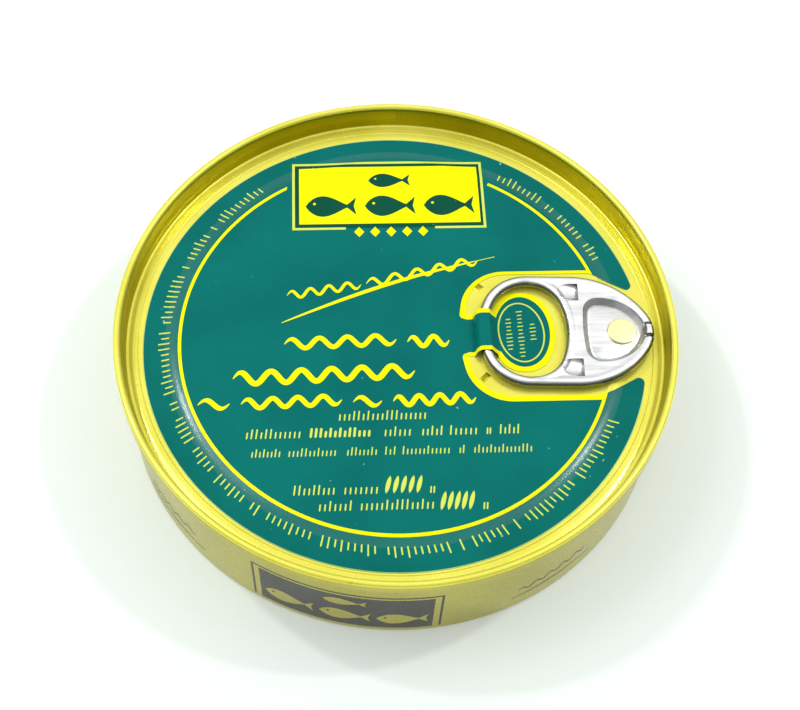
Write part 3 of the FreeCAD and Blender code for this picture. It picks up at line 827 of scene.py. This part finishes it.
def script_strokes():
    """The swept stroke with its two waves, and the three rows of waves below it."""
    t = np.linspace(0, 1, 60)
    sweep = np.column_stack([-20.5 + 39.5 * t, 3.2 + 13.6 * t + 1.2 * np.sin(math.pi * t)])
    width = 0.12 + 0.62 * np.sin(math.pi * np.minimum(t * 1.1, 1)) ** 0.7
    strokes = [ribbon(sweep, width), brush_wave(-19.5, -6.0, 8.2, 1.6, 0.6, 0.16),
               brush_wave(-5.0, 15.8, 10.4, 1.8, 0.65, 0.23)]
    for y, height, thick, words in (
            (-2.3, 2.0, 0.95, [(-20, 0), (2, 9.5)]),
            (-9.4, 2.4, 1.1, [(-29, 3)]),
            (-14.2, 1.8, 0.95, [(-35, -29.5), (-27.5, -10), (-8, -3), (-1, 13.5)])):
        strokes += [brush_wave(x0, x1, y, height, thick, 0.03) for x0, x1 in words]
    return strokes


def frame_lines(x0, y0, x1, y1, width, gap):
    """Four sides of a frame, the lower one with a gap in it."""
    return [rectangle(x0, y1 - width, x1, y1), rectangle(x0, y0, x0 + width, y1),
            rectangle(x1 - width, y0, x1, y1), rectangle(x0, y0, gap[0], y0 + width),
            rectangle(gap[1], y0, x1, y0 + width)]


def make_label():
    """One film: disc with the slot, the tongue over the ring's tip and the island in the ring."""
    slot = slot_loop(12.4, 12.8, 33.0, 7.6,
                     [(36.2, 12.8, 2.5), (44.15, 8.5, 1.85), (43.35, 12.45), (49, 14)])
    border = moved(slot_loop(11.4, 13.65, 34.0, 8.5, [(45.0, 13.65)]), 0, -0.2)
    island = moved(egg(**ISLAND), 0, 0.4)
    tongue = rectangle(12.0, TONGUE[0], 19.2, TONGUE[1])
    island_teal = ellipse(5.0, 7.35, 90, 22.8, 0.45)
    low, high = TONGUE_TEAL
    strip = [(10.4, 4.7), (11.45, 4.7), (11.9, 3.6), (12.9, high), (20.5, high),
             (20.5, low), (12.9, low), (11.9, -4.1), (11.45, -5.2), (10.4, -5.2)]
    shapes = print_shapes()

    lid_rings = [circle(r, 360, -LABEL_PLACE[0], -LABEL_PLACE[1]) for r in
                 (38.5, 38.75, 38.95, 39.1, 39.3, 39.6, 39.9, 40.2, 40.5, 40.8, 41.1, 41.4, 41.65,
                  42.0)]
    loops = [circle(LABEL_RADIUS, 720), circle(LABEL_RADIUS - EDGE_WIDTH, 720), slot, border,
             island, tongue, island_teal, strip, circle(RING_LINE[0], 540),
             circle(RING_LINE[1], 540)]
    loops += lid_rings + [loop for _, loop in shapes]
    chains = [[(x, TONGUE[0]), (x, TONGUE[1])]
              for x in (*LIFT_X, 15.75, 16.1, 16.45, 17.2, 18.0, 18.55)]
    flat, faces = triangulate(loops, chains)

    x, y = flat[faces].mean(axis=1).T
    radius, angle = np.hypot(x, y), np.degrees(np.arctan2(y, x)) % 360
    in_island, in_tongue = inside(island, x, y), inside(tongue, x, y)
    open_slot = inside(slot, x, y) & ~in_island & ~in_tongue
    zone = np.full(len(faces), TEAL_ZONE)
    zone[inside(border, x, y) & (radius < RING_LINE[1])] = YELLOW_ZONE
    zone[in_island | in_tongue] = YELLOW_ZONE
    zone[inside(strip, x, y) | inside(island_teal, x, y)] = TEAL_ZONE
    on_line = (radius > RING_LINE[0]) & (radius < RING_LINE[1])
    drawn = ((angle > 120.4) & (angle < 339)) | ((angle > 20.4) & (angle < 60.5))
    zone[on_line & drawn] = YELLOW_ZONE
    for colour, loop in shapes:
        px, py = np.asarray(loop).T
        near = np.flatnonzero((x > px.min()) & (x < px.max()) & (y > py.min()) & (y < py.max()))
        zone[near[inside(loop, x[near], y[near])]] = colour
    lid_radius = np.hypot(x + LABEL_PLACE[0], y + LABEL_PLACE[1])
    on_step = (lid_radius > STEP_INNER - 0.1) & (lid_radius < STEP_OUTER - 0.3)
    zone[(zone == TEAL_ZONE) & on_step] = STEP_ZONE
    zone[radius > LABEL_RADIUS - EDGE_WIDTH] = EDGE_ZONE
    kept = (radius < LABEL_RADIUS) & ~open_slot
    lay_label(flat, face_up(flat, faces[kept]), zone[kept])


def lay_label(flat, faces, zone):
    """The film's mesh from its flat triangles, laid on the lid and lifted over the ring's tip."""
    lift = np.interp(flat[:, 0], LIFT_X, LIFT_Z)
    lift *= 1 - smooth((np.abs(flat[:, 1] + 0.2) - 4.3) / 0.6)
    placed = np.array(turned(flat, LABEL_PLACE, LABEL_TWIST))
    height = panel_height(np.hypot(placed[:, 0], placed[:, 1])) + lift

    count = len(flat)
    skirt = edge_strip(faces, count)
    points = np.vstack([np.column_stack([placed, height + FILM_TOP]),
                        np.column_stack([placed, height + FILM_BOTTOM])])
    everything = faces.tolist() + (faces[:, ::-1] + count).tolist() + skirt
    zones = zone.tolist() + [TEAL_ZONE] * len(faces) + [EDGE_ZONE] * len(skirt)
    used = sorted({k for face in everything for k in face})
    place = dict(zip(used, range(len(used))))
    everything = [[place[k] for k in face] for face in everything]
    new_piece("label_film", points[used].tolist(), everything, ["label"],
              [TEAL, YELLOW, DARK, PALE, FILM_EDGE, STEP_TEAL], zones, sharp=40)


# ---------------------------------------------------------------- print on the can's wall
BARE, INK = 0, 1


def make_side_print():
    """Dark framed panel with plain fish left bare, and a wave over a stroke on either side.

    The print is laid out flat, along the wall and up it, and then wrapped round the wall.
    """
    left, right, low, high, line = -25.7, 7.7, 1.9, 15.8, 0.42
    middle = (left + right) / 2
    shapes = [(INK, rectangle(left, low, left + line, high)),
              (INK, rectangle(right - line, low, right, high)),
              (INK, rectangle(left, high - line, right, high)),
              (INK, rectangle(left + 1.5, low, right - 1.5, high - 1.15)),
              (BARE, fish(middle, 11.9, 7.6, 2.9))]
    shapes += [(BARE, fish(middle + x, 6.1, 9.0, 4.6)) for x in (-9.9, 0.0, 9.9)]
    shapes += [(INK, circle(0.28, 10, middle + x - 2.9, 6.6)) for x in (-9.9, 0.0, 9.9)]
    for x, y in ((20.5, 4.6), (-53.5, 4.2)):
        stroke = [(x + t, y + 0.1 * t - 0.004 * t * t) for t in np.linspace(0, 17, 40)]
        width = 0.06 + 0.26 * np.sin(np.linspace(0, math.pi, 40))
        shapes += [(INK, brush_wave(x + 1, x + 15, y + 2.2, 1.2, 0.3, 0.12)),
                   (INK, ribbon(stroke, width))]
    loops = [loop for _, loop in shapes]
    chains = [[(x, low), (x, high)] for x in np.arange(left + 0.4, right, 0.4)]
    flat, faces = triangulate(loops, chains)
    x, y = flat[faces].mean(axis=1).T
    printed = np.full(len(faces), BARE)
    for ink, loop in shapes:
        printed[inside(loop, x, y)] = ink
    faces = face_up(flat, faces[printed == INK])
    used, flat_faces = np.unique(faces, return_inverse=True)
    faces, flat = flat_faces.reshape(faces.shape), flat[used]
    count = len(flat)
    angle = flat[:, 0] / WALL_RADIUS - QUARTER
    layers = [np.column_stack([radius * np.cos(angle), radius * np.sin(angle), flat[:, 1]])
              for radius in (WALL_RADIUS + 0.02, WALL_RADIUS - 0.03)]
    everything = faces.tolist() + (faces[:, ::-1] + count).tolist() + edge_strip(faces, count)
    new_piece("side_print", np.vstack(layers).tolist(), everything, ["can_body"],
              [SIDE_INK])


# ---------------------------------------------------------------- stage, light and camera
def make_floor():
    """Pale floor that keeps the tin's shadow; to the camera and in reflections it glows, weakly
    near the tin and to white away from it, which paints shade round the tin.
    """
    reach, under = 3.0, -0.02 * MM
    mesh = bpy.data.meshes.new("floor")
    mesh.from_pydata([(x, y, under) for x, y in rectangle(-reach, -reach, reach, reach)], [],
                     [(0, 1, 2, 3)])
    floor = bpy.data.objects.new("floor", mesh)
    bpy.context.scene.collection.objects.link(floor)
    material, tree, principled = shader("floor_white", Roughness=0.9)
    principled.inputs["Base Color"].default_value = (0.82, 0.90, 0.86, 1)
    principled.inputs["Specular IOR Level"].default_value = 0.0
    seen = background_rays(tree)
    # Painted shade: the glow grows with the distance from the tin, so the floor near the tin stays
    # darker.
    away = node(tree, "ShaderNodeVectorMath", operation="LENGTH")
    tree.links.new(node(tree, "ShaderNodeTexCoord").outputs["Object"], away.inputs[0])
    painted_floor_glow = band(tree, away.outputs["Value"], 0.09, 0.4, 0.13, 0.5)
    tree.links.new(calculate(tree, "MULTIPLY", seen, painted_floor_glow), principled.inputs["Emission Strength"])
    principled.inputs["Emission Color"].default_value = (1, 1, 1, 1)
    mesh.materials.append(material)


def make_world():
    """White to the camera, dimmer as light, and with a bright top and back in reflections."""
    world = bpy.data.worlds.new("studio")
    bpy.context.scene.world = world
    world.use_nodes = True
    tree = world.node_tree
    background = tree.nodes["Background"]
    background.inputs["Color"].default_value = (1, 1, 1, 1)
    parts = node(tree, "ShaderNodeSeparateXYZ")
    tree.links.new(node(tree, "ShaderNodeTexCoord").outputs["Generated"], parts.inputs["Vector"])
    shown = calculate(tree, "MULTIPLY", band(tree, parts.outputs["Z"], 0.0, 0.7, 0.12, 1.12),
                      band(tree, parts.outputs["Y"], -0.8, 0.0, 0.38, 0.95))
    path = node(tree, "ShaderNodeLightPath")
    lit = node(tree, "ShaderNodeMix", data_type="FLOAT")
    tree.links.new(path.outputs["Is Glossy Ray"], lit.inputs[0])
    lit.inputs[2].default_value = 0.70
    tree.links.new(shown, lit.inputs[3])
    level = calculate(tree, "MAXIMUM", lit.outputs[0], path.outputs["Is Camera Ray"])
    tree.links.new(level, background.inputs["Strength"])


def calculate(tree, operation, first, second):
    """The result of a Math node on two outputs."""
    made = node(tree, "ShaderNodeMath", operation=operation)
    tree.links.new(first, made.inputs[0])
    tree.links.new(second, made.inputs[1])
    return made.outputs[0]


def background_rays(tree):
    """1 for rays that show the background to the camera, a reflection or a refraction."""
    path = node(tree, "ShaderNodeLightPath")
    seen = calculate(tree, "MAXIMUM", path.outputs["Is Camera Ray"], path.outputs["Is Glossy Ray"])
    return calculate(tree, "MAXIMUM", seen, path.outputs["Is Transmission Ray"])


def lamp(name, direction, far, size, power):
    """A soft square lamp in that direction from the tin, facing it."""
    light = bpy.data.lights.new(name, "AREA")
    light.shape = "SQUARE"
    light.size = size
    light.energy = power
    lamp_object = bpy.data.objects.new(name, light)
    bpy.context.scene.collection.objects.link(lamp_object)
    heading = Vector(direction).normalized()
    lamp_object.location = heading * far
    lamp_object.rotation_euler = heading.to_track_quat("Z", "Y").to_euler()


def make_lamps():
    """Two broad soft lamps, and two small ones whose glare shows on the step of the lid."""
    for name, direction, power in (("left", (-0.50, 0.06, 0.86), 0.6),
                                   ("right", (0.45, 0.10, 0.89), 0.12)):
        lamp(f"lamp_{name}", direction, far=0.6, size=0.24, power=power)
    for name, direction, power in (("left", (-0.502, 0.285, 0.817), 0.6),
                                   ("right", (0.503, 0.168, 0.848), 0.55)):
        lamp(f"bulb_{name}", direction, far=0.59, size=0.03, power=power)


def make_camera():
    """Looks down from the front, a little to the left, and slightly rolled."""
    height, side, roll = math.radians(59.5), math.radians(-3.73), math.radians(3.68)
    away, target = 251.4, Vector((0.497, -5.284, 20.0))
    back = Vector((math.sin(side) * math.cos(height), -math.cos(side) * math.cos(height),
                   math.sin(height)))
    level = Vector((0, 0, 1)).cross(back).normalized()
    upright = back.cross(level)
    right = level * math.cos(roll) + upright * math.sin(roll)
    up = upright * math.cos(roll) - level * math.sin(roll)
    place = (target + back * away) * MM
    camera = bpy.data.cameras.new("camera")
    camera.sensor_width = 36.0
    camera.lens = 63.9
    camera.clip_start = 0.01
    camera_object = bpy.data.objects.new("camera", camera)
    camera_object.matrix_world = Matrix((
        (right.x, up.x, back.x, place.x), (right.y, up.y, back.y, place.y),
        (right.z, up.z, back.z, place.z), (0, 0, 0, 1)))
    bpy.context.scene.collection.objects.link(camera_object)
    bpy.context.scene.camera = camera_object


bpy.context.scene.view_settings.view_transform = "Standard"
make_floor()
make_world()
make_lamps()
make_camera()
make_can()
make_lid()
make_lid_marks()
make_rivet()
make_tab()
make_label()
make_side_print()
